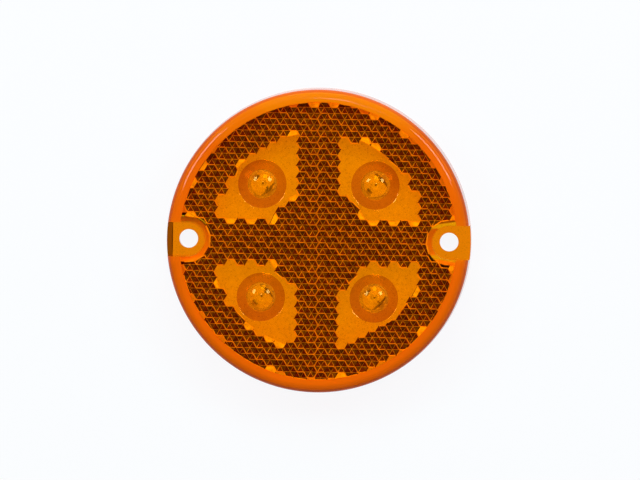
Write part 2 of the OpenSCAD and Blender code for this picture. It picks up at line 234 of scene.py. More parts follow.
def colour(hex_value):
    """sRGB hex to the linear colour that the shaders use."""
    channels = [int(hex_value[i : i + 2], 16) / 255 for i in (0, 2, 4)]
    linear = [c / 12.92 if c <= 0.04045 else ((c + 0.055) / 1.055) ** 2.4 for c in channels]
    return (*linear, 1.0)


def add_node(tree, kind, values=None, links=None, stops=(), **settings):
    """A node with its settings, its sockets' values, the links into it and (position, colour) stops."""
    node = tree.nodes.new(kind)
    for name, value in settings.items():
        setattr(node, name, value)
    for number, (position, value) in enumerate(stops):
        elements = node.color_ramp.elements
        element = elements[number] if number < 2 else elements.new(position)
        element.position, element.color = position, value
    for socket, value in (values or {}).items():
        node.inputs[socket].default_value = value
    for socket, source in (links or {}).items():
        tree.links.new(source, node.inputs[socket])
    return node


def new_material(name):
    """An empty material and its node tree."""
    material = bpy.data.materials.new(name)
    material.use_nodes = True
    material.node_tree.nodes.clear()
    return material, material.node_tree


def finish_material(material, shader):
    """The material with its shader on the surface."""
    add_node(material.node_tree, "ShaderNodeOutputMaterial", links={"Surface": shader})
    return material


def arc(centre, radius, start, end, steps):
    """Points of a profile on an arc, angles in radians."""
    turns = [start + (end - start) * i / steps for i in range(steps + 1)]
    return [(centre[0] + radius * math.cos(a), centre[1] + radius * math.sin(a)) for a in turns]


def cap(radius, height, foot_z, steps):
    """Outline of a round cap, from its top out to its foot."""
    ball_r = (radius**2 + height**2) / (2 * height)
    spread = math.asin(radius / ball_r)
    return arc((0, foot_z + height - ball_r), ball_r, math.pi / 2, math.pi / 2 - spread, steps)


def revolved(profile, steps, centre=(0, 0)):
    """A closed solid spun from a profile of (radius, height) points; an edge on the axis is left out.

    It is turned half a step, so that no edge lies on the line through the two screws.
    """
    bm = bmesh.new()
    points = [bm.verts.new((r, 0, z)) for r, z in profile]
    pairs = zip(points, points[1:] + points[:1])
    edges = [bm.edges.new((a, b)) for a, b in pairs if a.co.x > 1e-9 or b.co.x > 1e-9]
    bmesh.ops.spin(
        bm, geom=points + edges, cent=(0, 0, 0), axis=(0, 0, 1), angle=math.tau, steps=steps, use_merge=True
    )
    bmesh.ops.remove_doubles(bm, verts=bm.verts, dist=MERGE)
    bmesh.ops.dissolve_degenerate(bm, edges=bm.edges, dist=1e-8)
    bmesh.ops.recalc_face_normals(bm, faces=bm.faces)
    half_step = Matrix.Rotation(math.pi / steps, 3, "Z")
    bmesh.ops.rotate(bm, verts=bm.verts, cent=(0, 0, 0), matrix=half_step)
    bmesh.ops.translate(bm, verts=bm.verts, vec=(centre[0], centre[1], 0))
    return bm


def shade(mesh, angle):
    """Smooth faces with sharp edges above an angle; level faces stay flat and keep their mirror."""
    mesh.polygons.foreach_set("use_smooth", [abs(face.normal.z) < 0.9999 for face in mesh.polygons])
    mesh.set_sharp_from_angle(angle=angle)


def to_object(name, bm, materials=(), smooth=math.radians(30)):
    """A finished bmesh as an object at the origin."""
    mesh = bpy.data.meshes.new(name)
    bm.to_mesh(mesh)
    bm.free()
    obj = bpy.data.objects.new(name, mesh)
    bpy.context.scene.collection.objects.link(obj)
    for material in materials:
        mesh.materials.append(material)
    shade(mesh, smooth)
    return obj


def combine(target, tools, operation):
    """Cuts tools out of target, or keeps what they share with it, and removes them."""
    for tool in tools:
        modifier = target.modifiers.new(operation, "BOOLEAN")
        modifier.operation = operation
        modifier.solver = "EXACT"
        modifier.object = tool
    graph = bpy.context.evaluated_depsgraph_get()
    mesh = bpy.data.meshes.new_from_object(target.evaluated_get(graph))
    target.modifiers.clear()
    target.data = mesh
    for tool in tools:
        bpy.data.objects.remove(tool)
    return target


def drum(name, radius, low, high, steps, centre=(0, 0)):
    """A plain round tool between two heights."""
    outline = [(0, low), (radius, low), (radius, high), (0, high)]
    return to_object(name, revolved(outline, steps, centre))


def slot_tool(radius, low, high, side):
    """A tool with a round end at the screw, open outwards."""
    bm = bmesh.new()
    outline = arc((SCREW_X, 0), radius, math.pi / 2, 1.5 * math.pi, steps=48)
    outline += [(SCREW_X + LENS_R, -radius), (SCREW_X + LENS_R, radius)]
    face = bm.faces.new([bm.verts.new((side * x, y, low)) for x, y in outline])
    grown = bmesh.ops.extrude_face_region(bm, geom=[face])
    verts = [item for item in grown["geom"] if isinstance(item, bmesh.types.BMVert)]
    bmesh.ops.translate(bm, verts=verts, vec=(0, 0, high - low))
    bmesh.ops.recalc_face_normals(bm, faces=bm.faces)
    return to_object("slot", bm)


# ------------------------------ materials


def through_shadows(tree, shader, tint):
    """Lets lamp light through a clear shell: shadow rays meet a tinted, unbending surface."""
    path = add_node(tree, "ShaderNodeLightPath")
    open_way = add_node(tree, "ShaderNodeBsdfTransparent", {"Color": tint})
    links = {0: path.outputs["Is Shadow Ray"], 1: shader, 2: open_way.outputs[0]}
    return add_node(tree, "ShaderNodeMixShader", links=links).outputs[0]


def moulded_bump(tree, size, depth):
    """Slow waves that moulding leaves on a polished face; size and depth in metres."""
    place = add_node(tree, "ShaderNodeTexCoord")
    values = {"Scale": 1 / size, "Detail": 2.0}
    waves = add_node(tree, "ShaderNodeTexNoise", values, {"Vector": place.outputs["Object"]})
    values = {"Distance": depth, "Strength": 1.0}
    return add_node(tree, "ShaderNodeBump", values, {"Height": waves.outputs["Fac"]}).outputs["Normal"]


def clouded(tree, size, detail, low, high, spread=0.2):
    """A tone that drifts from low to high over patches of a size in metres: its pattern and its colour."""
    place = add_node(tree, "ShaderNodeTexCoord")
    values = {"Scale": 1 / size, "Detail": detail}
    cloud = add_node(tree, "ShaderNodeTexNoise", values, {"Vector": place.outputs["Object"]})
    stops = [(0.5 - spread, colour(low)), (0.5 + spread, colour(high))]
    tone = add_node(tree, "ShaderNodeValToRGB", links={"Fac": cloud.outputs["Fac"]}, stops=stops)
    return cloud.outputs["Fac"], tone.outputs["Color"]


def amber(name, tint, pits):
    """Amber acrylic, injection moulded and polished: clear, glossy, refracting, with pinhead pits.

    The tint is what one pass through the wall leaves of white light. Real pits stand closer: they are
    drawn 0.9 mm apart so that they show. The small mirror images take some of the amber from just
    under the surface, so they are yellow and not white.
    """
    material, tree = new_material(name)
    place = add_node(tree, "ShaderNodeTexCoord")
    spots = add_node(
        tree, "ShaderNodeTexVoronoi", {"Scale": 1 / (0.9 * MM)}, {"Vector": place.outputs["Object"]}
    )
    stops = [(0.15, colour(pits)), (0.3, colour(tint))]
    body = add_node(tree, "ShaderNodeValToRGB", links={"Fac": spots.outputs["Distance"]}, stops=stops)
    glass = add_node(
        tree,
        "ShaderNodeBsdfPrincipled",
        {"Roughness": 0.03, "IOR": 1.49, "Specular Tint": colour("FFE080"), "Transmission Weight": 1.0},
        {"Base Color": body.outputs["Color"], "Normal": moulded_bump(tree, 6 * MM, 0.004 * MM)},
    )
    # Light passes two faces of the wall, and each takes its share of the tint
    one_face = (*(channel**0.5 for channel in colour(tint)[:3]), 1.0)
    return finish_material(material, through_shadows(tree, glass.outputs[0], one_face))


def amber_deep(name, tones, shadow, mirror=0.3):
    """The same acrylic where the eye looks along a thick wall: deeper and fuller, and lighter to the top by
    painted light.

    The tones are those of its low patches, its middle and its top; the top one is painted light. Its
    patches are 22 mm wide, as the melt flowed. The shadow is what lamp light keeps on its way through.
    """
    material, tree = new_material(name)
    place = add_node(tree, "ShaderNodeTexCoord")
    values = {"Scale": 1 / (22 * MM), "Detail": 1.0}
    flow = add_node(tree, "ShaderNodeTexNoise", values, {"Vector": place.outputs["Object"]})
    axes = add_node(tree, "ShaderNodeSeparateXYZ", links={"Vector": place.outputs["Object"]})
    # Painted light: the level rises towards the top of the lens, so the wall is lighter there, as if lit
    # from above
    rise = add_node(
        tree,
        "ShaderNodeMapRange",
        {"From Min": 0.5 * LENS_R, "From Max": LENS_R, "To Min": 0.0, "To Max": 0.5},
        {"Value": axes.outputs["Y"]},
    )
    level = add_node(
        tree, "ShaderNodeMath", links={0: flow.outputs["Fac"], 1: rise.outputs["Result"]}, operation="ADD"
    )
    stops = [(position, colour(tone)) for position, tone in zip((0.3, 0.65, 1.0), tones)]
    body = add_node(tree, "ShaderNodeValToRGB", links={"Fac": level.outputs[0]}, stops=stops)
    shell = add_node(
        tree,
        "ShaderNodeBsdfPrincipled",
        {"Roughness": 0.08, "IOR": 1.35, "Specular IOR Level": mirror, "Transmission Weight": 0.12},
        {"Base Color": body.outputs["Color"], "Normal": moulded_bump(tree, 9 * MM, 0.006 * MM)},
    )
    return finish_material(material, through_shadows(tree, shell.outputs[0], shadow))


def prism_face(name, low, high, roughness):
    """Acrylic face of a prism in a painted tone that drifts over small patches, a painted stand-in for the
    field's uneven sparkle.
    """
    material, tree = new_material(name)
    tone = clouded(tree, 1.4 * MM, 1.0, low, high, spread=0.15)[1]
    values = {"Roughness": roughness, "IOR": 1.49}
    shader = add_node(tree, "ShaderNodeBsdfPrincipled", values, {"Base Color": tone})
    return finish_material(material, shader.outputs[0])


def epoxy_diffused():
    """Cast LED epoxy with a little diffuser in it: pale, glossy and softly see-through."""
    material, tree = new_material("Cast epoxy diffused")
    tone = clouded(tree, 1.5 * MM, 2.0, "F4F0D0", "FCFAE8")[1]
    glass = add_node(
        tree,
        "ShaderNodeBsdfPrincipled",
        {"Roughness": 0.04, "IOR": 1.53, "Transmission Weight": 0.8},
        {"Base Color": tone, "Normal": moulded_bump(tree, 2 * MM, 0.001 * MM)},
    )
    return finish_material(material, through_shadows(tree, glass.outputs[0], (0.9, 0.88, 0.8, 1.0)))


def speckled(name, low, high, grain, roughness, bump=0.0, metallic=0.0):
    """A solid finish with the fine grain that its making leaves; grain and bump in metres."""
    material, tree = new_material(name)
    pattern, tone = clouded(tree, grain, 3.0, low, high)
    links = {"Base Color": tone}
    if bump:
        height = add_node(tree, "ShaderNodeBump", {"Distance": bump, "Strength": 1.0}, {"Height": pattern})
        links["Normal"] = height.outputs["Normal"]
    values = {"Roughness": roughness, "Metallic": metallic}
    shader = add_node(tree, "ShaderNodeBsdfPrincipled", values, links)
    return finish_material(material, shader.outputs[0])


def layered(name, low, high, pitch, roughness):
    """Cut edge of a glass fibre laminate: fine straw-coloured layers along the board."""
    material, tree = new_material(name)
    place = add_node(tree, "ShaderNodeTexCoord")
    # At scale 1 a wave repeats 3.2 times a metre, so the layers come out at their pitch
    layers = add_node(
        tree, "ShaderNodeTexWave", {"Scale": 1 / (3.2 * pitch), "Distortion": 2.0, "Detail": 1.0},
        {"Vector": place.outputs["Object"]}, bands_direction="Z",
    )
    stops = [(0.2, colour(low)), (0.8, colour(high))]
    tone = add_node(tree, "ShaderNodeValToRGB", links={"Fac": layers.outputs["Fac"]}, stops=stops)
    height = add_node(
        tree, "ShaderNodeBump", {"Distance": 0.02 * MM, "Strength": 1.0}, {"Height": layers.outputs["Fac"]}
    )
    links = {"Base Color": tone.outputs["Color"], "Normal": height.outputs["Normal"]}
    shader = add_node(tree, "ShaderNodeBsdfPrincipled", {"Roughness": roughness}, links)
    return finish_material(material, shader.outputs[0])


# ------------------------------ lens shell


def envelope_profile(sizes, prisms):
    """Outer outline of the lens as (radius, height) points."""
    edge_x = LENS_R - (LAMP_H - sizes.edge_r) * math.tan(sizes.draft) - sizes.edge_r / math.cos(sizes.draft)
    edge = arc((edge_x, LAMP_H - sizes.edge_r), sizes.edge_r, sizes.draft, math.pi / 2, steps=14)
    return [(0, 0), (LENS_R, 0)] + edge + [(LENS_R - prisms.margin, LAMP_H), (0, LAMP_H)]


def cavity_profile(sizes, prisms):
    """Outline of the hollow behind the front wall, with the ledge for the cover."""
    front_z = LAMP_H - sizes.front_t
    inner_r = LENS_R - sizes.skirt_t
    return [
        (0, -SPARE),
        (inner_r + sizes.ledge_w, -SPARE),
        (inner_r + sizes.ledge_w, sizes.cover_t),
        (inner_r, sizes.cover_t),
        (inner_r - front_z * math.tan(sizes.draft), front_z),
        (LENS_R - prisms.margin, front_z),
        (0, front_z),
    ]


def floor_hollow(sizes, side, steps):
    """The room under one screw floor, round the collar and inside the outer wall."""
    hollow = slot_tool(sizes.recess_r, -SPARE, sizes.ear_lift, side)
    inside = drum("inside", LENS_R - sizes.skirt_t + sizes.ledge_w, -2 * SPARE, LAMP_H, steps)
    combine(hollow, [inside], "INTERSECT")
    collar_top = sizes.ear_lift + 2.5 * SPARE
    collar = drum("collar", SCREW_R + sizes.collar_t, -2 * SPARE, collar_top, 64, (side * SCREW_X, 0))
    return combine(hollow, [collar], "DIFFERENCE")


def optic_tools(sizes, optics, steps):
    """Bosses to add and dishes and hollows to cut, one of each over every LED."""
    dish_z = LAMP_H - optics.dish_h
    back_z = dish_z - optics.back_t
    slope = math.atan2(optics.dish_h, optics.dish_r - optics.dome_r)
    lip_x = optics.dish_r + optics.edge_r * math.tan(slope / 2)
    lip = arc((lip_x, LAMP_H - optics.edge_r), optics.edge_r, math.pi / 2 + slope, math.pi / 2, steps=5)
    dish = cap(optics.dome_r, optics.dome_h, dish_z, steps=14) + lip
    dish += [(lip_x, LAMP_H + SPARE), (0, LAMP_H + SPARE)]
    hollow = cap(optics.dome_r, optics.hollow_h, back_z, steps=10)
    hollow += [(optics.dome_r, back_z - SPARE), (0, back_z - SPARE)]
    boss_top = LAMP_H - sizes.front_t + SPARE
    bosses, cuts = [], []
    for x, y in QUARTERS:
        centre = (x * LED_OFFSET, y * LED_OFFSET)
        bosses.append(drum("boss", optics.dish_r + optics.rim, back_z, boss_top, steps, centre))
        cuts.append(to_object("dish", revolved(dish, steps, centre)))
        cuts.append(to_object("hollow", revolved(hollow, steps, centre)))
    return bosses, cuts


# Zones of the lens, in the order of its materials
CLEAR, THICK, DISH, END, DEEP, WELL, WALL = range(7)
OUTER_SKIN = 1.2 * MM  # the outside of the outer wall lies this near to the lens's radius
SEEN_DEPTH = 4.5 * MM  # faces nearer to the front than this are seen through the front wall alone


def face_zone(centre, normal, sizes, prisms, optics):
    """Which amber a face takes: mostly by the thickness the eye looks through; the dish, the screw bores and
    the outer wall take painted shade, and the recess walls painted light.
    """
    radius = math.hypot(centre.x, centre.y)
    past_screw = abs(centre.x) - SCREW_X
    ear = abs(centre.y) if past_screw > 0 else math.hypot(past_screw, centre.y)
    level = abs(normal.z) > 0.9
    # Screw bore walls take the dark wall end amber: painted shade in the bores
    if not level and math.hypot(past_screw, centre.y) < SCREW_R + TOUCH:
        return END
    # The outer wall takes a darker amber: painted shade along the edge
    if radius > LENS_R - OUTER_SKIN and normal.z < 0.7 and not level:
        return WALL
    if ear < sizes.recess_r - HAIR and centre.z < sizes.ear_lift + sizes.ear_t + HAIR:
        end_on = centre.x < -sizes.wall_end_r and centre.z > sizes.ear_lift
        return END if end_on else THICK
    optic = min(math.hypot(centre.x - x * LED_OFFSET, centre.y - y * LED_OFFSET) for x, y in QUARTERS)
    # The dished ring takes a darker amber, painted shade; its lip keeps the clear amber
    sloping = 0.1 < normal.z < 0.9995 and centre.z > LAMP_H - sizes.front_t
    if sloping and optics.dome_r < optic < optics.dish_r - optics.lip_w:
        return DISH
    inside = radius < LENS_R - prisms.margin
    # Walls round the recesses take a paler amber: painted light
    at_recess = inside and ear < sizes.recess_r + sizes.well_t + TOUCH
    if at_recess and (not level or centre.z < sizes.ear_lift + sizes.ear_t / 2):
        return WELL
    return CLEAR if inside and centre.z > LAMP_H - SEEN_DEPTH else DEEP


def lens_finishes(colours):
    """One amber for each zone of the lens, in their order."""
    wall_shade, recess_shade = (0.8, 0.3, 0.02, 1.0), (1.0, 0.8, 0.4, 1.0)
    deep, recess, wall = colours.amber_deep, colours.amber_well_painted_light, colours.amber_wall_painted_shade
    return [
        amber("Amber acrylic clear", colours.amber, pits="D69C02"),
        amber("Amber acrylic thick", colours.amber_thick, pits="DC7802"),
        amber("Amber acrylic dish, painted shade", colours.amber_dish_painted_shade, pits="A85600"),
        amber("Amber acrylic wall end, bores in painted shade", colours.amber_end_and_bore_shade, pits="522200"),
        amber_deep("Amber acrylic deep", (colours.amber_low, deep, colours.amber_high_painted_light), wall_shade),
        amber_deep("Amber acrylic recess wall, painted light", (recess, recess, recess), recess_shade),
        amber_deep("Amber acrylic outer wall, painted shade", (wall, wall, deep), wall_shade, mirror=0.12),
    ]


def build_lens_shell(sizes, prisms, optics, colours, steps):
    """The moulding without its prisms: skirt, front wall, recesses, collars, dishes and domes."""
    shell = to_object("lens_shell", revolved(envelope_profile(sizes, prisms), steps))
    cavity = to_object("cavity", revolved(cavity_profile(sizes, prisms), steps))
    wall_r, top_z = sizes.recess_r + sizes.well_t, LAMP_H + SPARE
    walls = [slot_tool(wall_r, -3 * SPARE, top_z, side) for side in (-1, 1)]
    bosses, optic_cuts = optic_tools(sizes, optics, 96)
    combine(cavity, walls + bosses, "DIFFERENCE")
    cuts = [cavity]
    floor_z = sizes.ear_lift + sizes.ear_t
    for side in (-1, 1):
        cuts.append(slot_tool(sizes.recess_r, floor_z, top_z, side))
        cuts.append(floor_hollow(sizes, side, steps))
        cuts.append(drum("hole", SCREW_R, -2 * SPARE, floor_z + 3 * SPARE, 64, (side * SCREW_X, 0)))
    combine(shell, cuts + optic_cuts, "DIFFERENCE")
    mesh = shell.data
    bm = bmesh.new()
    bm.from_mesh(mesh)
    # Splits the left screw floor where the outer wall's end shows through it as a dark stripe
    bmesh.ops.bisect_plane(
        bm, geom=bm.verts[:] + bm.edges[:] + bm.faces[:], dist=1e-7, plane_co=(-sizes.wall_end_r, 0, 0),
        plane_no=(1, 0, 0),
    )
    bm.to_mesh(mesh)
    bm.free()
    mesh.materials.clear()
    for material in lens_finishes(colours):
        mesh.materials.append(material)
    for face in mesh.polygons:
        face.material_index = face_zone(face.center, face.normal, sizes, prisms, optics)
    shade(mesh, math.radians(20))
    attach(shell, "root")
    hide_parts("lens")


# ------------------------------ prisms


def round_cut(x, y, centre_x, centre_y, radius):
    """The straight cut that keeps the cell at (x, y) out of a round wall, at the wall's nearest point."""
    away = Vector((x - centre_x, y - centre_y, 0))
    inward = -away.normalized()
    return radius - away.length, Vector((x, y, 0)) + inward * (away.length - radius), inward


def cell_cuts(x, y, sizes, prisms, optics):
    """Straight cuts that trim the cell at (x, y) to the prism field: (depth, point, outward normal) each.

    A positive depth means that the cell's middle lies outside the field. At a window, a cell whose
    middle lies well inside the field stays whole, so that the window's edge is stepped.
    """
    radius = math.hypot(x, y)
    out = Vector((x, y, 0)) / radius
    field_r = LENS_R - prisms.margin
    band_r = field_r - prisms.band
    side_x, side_y = math.copysign(1, x), math.copysign(1, y)
    right, up = Vector((side_x, 0, 0)), Vector((0, side_y, 0))
    window = [
        (abs(x) - prisms.bar, right * prisms.bar, right),
        (abs(y) - prisms.bar, up * prisms.bar, up),
        (radius - prisms.window_in, out * prisms.window_in, out),
        (band_r - radius, out * band_r, -out),
    ]
    cuts = [(radius - field_r, out * field_r, out)]
    nearest = min(window, key=lambda cut: cut[0])
    if nearest[0] > -prisms.whole * prisms.cell:
        cuts.append(nearest)
    # A recess is open outwards, so past the screw its middle line takes the place of its centre
    recess_x = side_x * max(SCREW_X, abs(x))
    cuts.append(round_cut(x, y, recess_x, 0, sizes.recess_r + sizes.well_t))
    cuts.append(round_cut(x, y, side_x * LED_OFFSET, side_y * LED_OFFSET, optics.dish_r + optics.rim))
    return cuts


def prism_cells(sizes, prisms, optics):
    """Place, depth and cuts of every cell that reaches into the prism field, on a hexagonal grid."""
    half = prisms.cell * math.sqrt(3) / 2
    columns = math.ceil(LENS_R / (1.5 * prisms.cell)) + 1
    rows = math.ceil(LENS_R / (2 * half)) + 1
    for column in range(-columns, columns + 1):
        for row in range(-rows, rows + 1):
            x = prisms.shift_x + 1.5 * prisms.cell * column
            y = prisms.shift_y + half * (2 * row + column % 2)
            cuts = [cut for cut in cell_cuts(x, y, sizes, prisms, optics) if cut[0] > -prisms.cell]
            depth = max((cut[0] for cut in cuts), default=-prisms.cell)
            if depth < prisms.outside * prisms.cell:
                yield x, y, depth, cuts


def prism_depth(x, y, cell):
    """Depth of a cube corner at (x, y) from its middle: three square faces meet at the tip."""
    step = cell / math.sqrt(2)
    rise = max(x * math.cos(a) + y * math.sin(a) for a in (0, math.tau / 3, 2 * math.tau / 3))
    return 2 * step * (1 - rise / cell)


def turn_of(start, end):
    """Direction from one point to another as seen from the front, in degrees."""
    return math.degrees(math.atan2(end[1] - start[1], end[0] - start[0]))


# Finishes of the prisms, in the order of their materials
FACET_WARM, FACET_OLIVE, LAND, RIDGE, BRIGHT = range(5)


def lay_cells(bm, middles, top_z, sizes, prisms, optics):
    """Flat hexagons over the field, trimmed at its edges; gives the places that middles counts."""
    places = []
    for x, y, depth, cuts in prism_cells(sizes, prisms, optics):
        made = bmesh.ops.create_circle(
            bm, cap_ends=True, segments=6, radius=prisms.cell,
            matrix=Matrix.Translation((x, y, top_z)) @ Matrix.Rotation(math.radians(30), 4, "Z"),
        )
        face = made["verts"][0].link_faces[0]
        face[middles] = len(places)
        # Part cells whose middle lies outside the field stay flat and pale: painted light
        face.material_index = BRIGHT if depth > 0 else FACET_WARM
        places.append((x, y))
        geom = made["verts"] + list(face.edges) + [face]
        for _, point, normal in cuts:
            kept = bmesh.ops.bisect_plane(
                bm, geom=geom, dist=1e-7, plane_co=point, plane_no=normal, clear_outer=True
            )
            geom = [item for item in kept["geom"] if item.is_valid]
    slivers = [face for face in bm.faces if face.calc_area() < prisms.least * prisms.cell**2]
    bmesh.ops.delete(bm, geom=slivers, context="FACES")
    bmesh.ops.remove_doubles(bm, verts=bm.verts, dist=prisms.cell / 50)
    for face in bm.faces:
        if face.normal.z < 0:
            face.normal_flip()
    return places


def edge_lands(bm, prisms):
    """A land round each cell. Those on one slant are dark, save along the seam down the middle."""
    cells = bm.faces[:]
    bmesh.ops.inset_individual(bm, faces=cells, thickness=prisms.land / 2, use_even_offset=True)
    for face in set(bm.faces) - set(cells):
        one, other = (vert.co for vert in max(face.edges, key=lambda edge: edge.calc_length()).verts)
        at_seam = abs(one.x + other.x) / 2 < prisms.cell / 2
        slanted = abs(turn_of(one, other) % 180 - 60) < 5
        face.material_index = FACET_WARM if slanted and not at_seam else LAND


def sink_corners(bm, middles, places, cells, top_z, prisms):
    """Makes each whole cell a cube corner with soft ridges, its facets warm and olive in turn, both dark
    tones painted shade.
    """
    for face in cells:
        x, y = places[face[middles]]
        for vert in face.verts:
            vert.co.z = top_z - prism_depth(vert.co.x - x, vert.co.y - y, prisms.cell)
    ridges = []
    for tip in bmesh.ops.poke(bm, faces=cells)["verts"]:
        place = places[tip.link_faces[0][middles]]
        tip.co = (*place, top_z - prism_depth(0, 0, prisms.cell))
        for edge in tip.link_edges:
            turn = turn_of(place, edge.other_vert(tip).co) % 60
            if min(turn, 60 - turn) < 6:
                ridges.append(edge)
        for face in tip.link_faces:
            warm = turn_of(place, face.calc_center_median()) % 120 < 60
            face.material_index = FACET_WARM if warm else FACET_OLIVE
    made = bmesh.ops.bevel(
        bm, geom=ridges, offset=prisms.ridge / 2, offset_type="OFFSET", affect="EDGES", segments=1,
        profile=0.5, material=-1,
    )
    for face in made["faces"]:
        face.material_index = RIDGE


def prism_finishes(colours):
    """The prisms' finishes: dark facets in painted shade, and pale lands, ridges and open part cells in
    painted light.
    """
    return [
        prism_face("Acrylic prism facet warm, painted shade", "582818", colours.facet_warm_painted_shade, 0.25),
        prism_face("Acrylic prism facet olive, painted shade", "4C4424", colours.facet_olive_painted_shade, 0.25),
        prism_face("Acrylic prism land, painted light", "ECC2BA", colours.land, 0.35),
        prism_face("Acrylic prism ridge, painted light", "B49C7C", "F8E4C4", 0.35),
        prism_face("Acrylic prism open facet, painted light", "DCD2C2", "FFFCEC", 0.2),
    ]


def build_prisms(sizes, prisms, optics, colours):
    """Hexagonal cube-corner prisms behind the front wall, as thin open cells."""
    top_z = LAMP_H - sizes.front_t - prisms.gap
    bm = bmesh.new()
    middles = bm.faces.layers.int.new("middle")
    places = lay_cells(bm, middles, top_z, sizes, prisms, optics)
    whole = [face for face in bm.faces if face.material_index == FACET_WARM]
    edge_lands(bm, prisms)
    sink_corners(bm, middles, places, whole, top_z, prisms)
    obj = to_object("reflex_prisms", bm, prism_finishes(colours), smooth=math.radians(20))
    obj.visible_shadow = False
    wall = obj.modifiers.new("Wall", "SOLIDIFY")
    wall.thickness = prisms.film
    wall.offset = -1
    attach(obj, "root")
    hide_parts("lens")


# ------------------------------ LEDs


def led_place(number):
    """Where an LED stands, turned so that its leads lie in line with the lamp's middle."""
    x, y = QUARTERS[number - 1]
    turn = Matrix.Rotation(x * y * LED_TURN, 4, "Z")
    return Matrix.Translation((x * LED_OFFSET, y * LED_OFFSET, 0)) @ turn


def add_block(bm, low, high, place, finish=0):
    """A box between two corners, moved by place, with the finish of that number."""
    low, high = Vector(low), Vector(high)
    size = Matrix.Diagonal((*(high - low), 1))
    made = bmesh.ops.create_cube(bm, size=1, matrix=place @ Matrix.Translation((low + high) / 2) @ size)
    for face in {face for vert in made["verts"] for face in vert.link_faces}:
        face.material_index = finish


def led_body(number, led):
    """Cast body of an LED: a flange with one flat, and a round head."""
    low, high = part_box(f"led_{number}")
    foot_r = (high.y - low.y) / 2
    foot_z = low.z + led.foot_h
    outline = [(0, low.z), (foot_r, low.z), (foot_r, foot_z - led.foot_soft)]
    outline += [(foot_r - led.foot_soft, foot_z), (led.body_r, foot_z)]
    outline += arc((0, high.z - led.body_r), led.body_r, 0, math.pi / 2, steps=16)
    body = to_object(f"led_body_{number}", revolved(outline, 64))
    flat = bmesh.new()
    corners = (led.body_r, -2 * foot_r, low.z - SPARE), (2 * foot_r, 2 * foot_r, foot_z + SPARE)
    add_block(flat, *corners, Matrix())
    combine(body, [to_object("flat", flat)], "DIFFERENCE")
    body.data.transform(led_place(number))
    return body


def lead_frame(number, led, cup_z):
    """Lead frame of an LED: silver cup and leads, the bridge to the cup, a dark plate over each lead."""
    place = led_place(number)
    foot_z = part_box(f"led_{number}")[0].z + led.lead_foot
    cup = [(0, cup_z - led.cup_h), (led.cup_foot_r, cup_z - led.cup_h), (led.cup_r, cup_z)]
    cup += [(led.cup_r - led.cup_t, cup_z), (led.cup_foot_r - led.cup_t, cup_z - led.bowl_h)]
    cup += [(0, cup_z - led.bowl_h)]
    bm = revolved(cup, 32)
    for face in bm.faces:
        face.material_index = 1
    bmesh.ops.transform(bm, matrix=place, verts=bm.verts)
    half = led.strip_t / 2
    bridge_top = cup_z - led.cup_h + led.cup_t
    bridge = (led.cup_foot_r / 2, -half, bridge_top - led.bridge_h), (led.lead_x, half, bridge_top)
    add_block(bm, *bridge, place)
    plate_z = cup_z - led.plate_h
    for x, width in ((led.lead_x, led.anvil_w), (-led.lead_x, led.post_w)):
        add_block(bm, (x - half, -width / 2, plate_z), (x + half, width / 2, cup_z), place)
        lead = (x - half, -led.lead_w / 2, foot_z), (x + half, led.lead_w / 2, plate_z)
        add_block(bm, *lead, place, finish=1)
    return bm


def led_finishes():
    """Finishes of the LED's epoxy, its frame and its die."""
    epoxy = epoxy_diffused()
    # Painted shade: dull dark grey, darker than tin, so that the plates show as dark marks in the domes
    plates = speckled("Tinned copper alloy frame, painted shade", "5C5850", "8A867C", 0.4 * MM, 0.3, metallic=1.0)
    # Nearly white with a soft shine
    silver = speckled("Silver plated cup", "DAD6C8", "F0ECE0", 0.2 * MM, 0.5, metallic=0.2)
    # Dark gold speck
    die = speckled("LED die", "3A2A10", "6A4A18", 0.1 * MM, 0.4)
    return epoxy, [plates, silver], [die]


def build_led(number, led, epoxy, frame_metals, die_finish):
    """Round-headed LED: epoxy body, lead frame and die."""
    body = led_body(number, led)
    body.data.materials.clear()
    body.data.materials.append(epoxy)
    shade(body.data, math.radians(30))
    cup_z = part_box(f"led_{number}")[0].z + led.cup_z
    leads = to_object(f"led_frame_{number}", lead_frame(number, led, cup_z), frame_metals)
    chip = bmesh.new()
    half, bowl_z = led.die_w / 2, cup_z - led.bowl_h
    add_block(chip, (-half, -half, bowl_z), (half, half, bowl_z + led.die_h), led_place(number))
    die = to_object(f"led_die_{number}", chip, die_finish)
    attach(body, "root")
    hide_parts(f"led_{number}")
    for piece in (leads, die):
        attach(piece, "root")


# ------------------------------ inner parts


def plain_zone(centre, normal, low, high):
    """One finish all over."""
    return 0


def board_zone(centre, normal, low, high):
    """Mask on the faces, bare laminate on the cut edges."""
    return int(abs(normal.z) < 0.5)


def along(centre, low, high):
    """Distance from the middle of a box along its longer level side, as a share of half that side."""
    size, off = high - low, centre - (low + high) / 2
    axis = 0 if size.x > size.y else 1
    return abs(off[axis]) / (size[axis] / 2)


def chip_zone(centre, normal, low, high):
    """Tinned caps on the ends of a chip."""
    return int(along(centre, low, high) > CHIP_CAP)


def lead_zone(centre, normal, low, high):
    """Folded leads outside the ends of a package."""
    return int(along(centre, low, high) > LEAD_START)


def leg_zone(centre, normal, low, high):
    """Legs and heat tab outside the long sides of the regulator."""
    return int(centre.z < low.z + LEG_T and normal.z > -0.5 and along(centre, low, high) < LEG_REACH)


